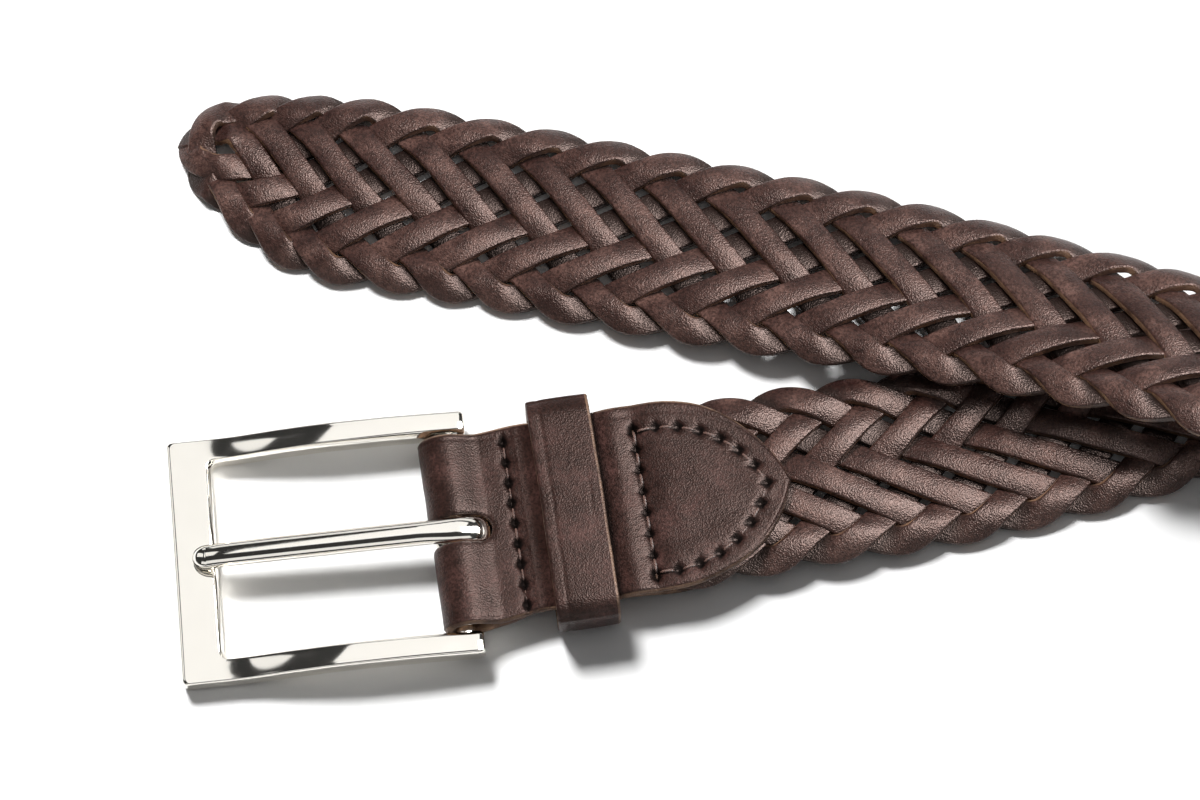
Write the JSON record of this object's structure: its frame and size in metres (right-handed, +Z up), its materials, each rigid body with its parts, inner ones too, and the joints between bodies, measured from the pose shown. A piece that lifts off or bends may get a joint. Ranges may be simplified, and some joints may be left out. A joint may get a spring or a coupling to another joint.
{
  "type": "braided leather belt",
  "caption": "Braided dark brown leather dress belt with a polished rectangular prong buckle, stitched leather chape and sliding keeper, laid down in one open loop",
  "frame": {"origin": "on the table under the middle of the whole laid belt", "axes": "+X along the longest extent, from the buckle and tip towards the loop; +Z up from the table"},
  "size_m": [0.4698, 0.194, 0.0362],
  "materials": {
    "chape_leather": "smooth dyed vegetable-tanned leather with a soft waxed sheen",
    "lace_leather": "dyed leather laces, lightly grained, with paler cut edges",
    "thread": "waxed polyester thread",
    "polished_nickel": "mirror-polished nickel plate"
  },
  "bodies": {
    "strap": {"chape": "chape_leather", "fold_stitches": "thread", "patch_stitches": "thread", "lace_1": "lace_leather", "lace_2": "lace_leather", "lace_3": "lace_leather", "lace_4": "lace_leather", "lace_5": "lace_leather", "lace_6": "lace_leather", "lace_7": "lace_leather", "lace_8": "lace_leather"},
    "keeper": {"keeper": "chape_leather", "keeper_stitches": "thread"},
    "buckle": {"buckle_frame": "polished_nickel", "buckle_bar": "polished_nickel"},
    "prong": {"prong": "polished_nickel"}
  },
  "joints": [
    {"name": "buckle_hinge", "type": "hinge", "parent": "strap", "child": "buckle", "pos_m": [-0.18242, -0.02427, 0.0048], "axis": [-0.1011, 0.9949, 0], "range_deg": [-75, 45]},
    {"name": "prong_hinge", "type": "hinge", "parent": "buckle", "child": "prong", "pos_m": [-0.18242, -0.02427, 0.0048], "axis": [-0.1011, 0.9949, 0], "range_deg": [0, 55]},
    {"name": "keeper_slide", "type": "slide", "parent": "strap", "child": "keeper", "axis": [0.9882, 0.153, 0], "range_m": [-0.004, 0.0022]}
  ]
}
